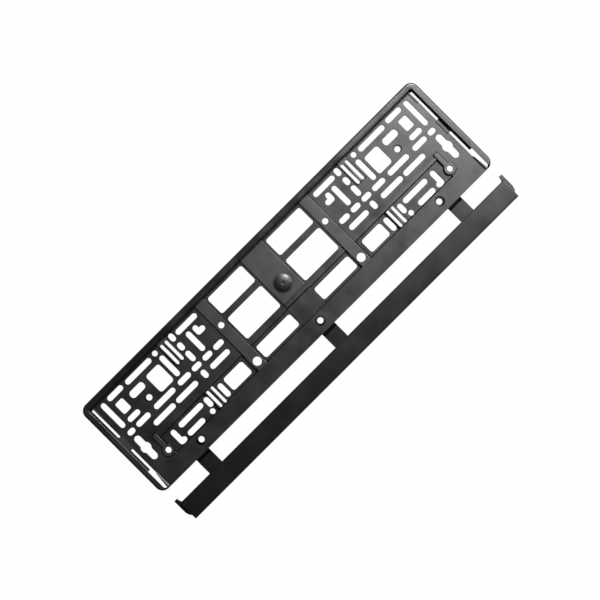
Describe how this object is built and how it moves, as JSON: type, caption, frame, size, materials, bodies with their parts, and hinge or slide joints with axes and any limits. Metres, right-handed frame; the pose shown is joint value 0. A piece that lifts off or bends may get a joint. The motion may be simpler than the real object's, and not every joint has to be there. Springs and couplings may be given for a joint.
{
  "type": "number plate holder",
  "caption": "Flat perforated plastic base with a raised rim for a car's number plate, and a retaining strip on film hinges that folds up over the plate's lower edge.",
  "frame": {"origin": "centre of the base frame's back plane", "axes": "+X along the plate's length, +Y towards the top rim and away from the strip, +Z out of the front, towards whoever reads the plate"},
  "size_m": [0.537, 0.1819, 0.0093],
  "materials": {
    "black_polypropylene": "satin black with a fine moulded grain"
  },
  "bodies": {
    "base": {"base_frame": "black_polypropylene", "edge_films": "black_polypropylene"},
    "webs": {"hinge_webs": "black_polypropylene"},
    "strip": {"retaining_strip": "black_polypropylene", "strip_films": "black_polypropylene"}
  },
  "joints": [
    {"name": "web_fold", "type": "hinge", "parent": "base", "child": "webs", "pos_m": [0, -0.0696, 0.0056], "axis": [-1, 0, 0], "range_deg": [0, 160], "deforming": ["edge_films"]},
    {"name": "strip_fold", "type": "hinge", "parent": "webs", "child": "strip", "pos_m": [0, -0.09215, 0.0048], "axis": [1, 0, 0], "range_deg": [0, 160], "deforming": ["strip_films"]}
  ]
}
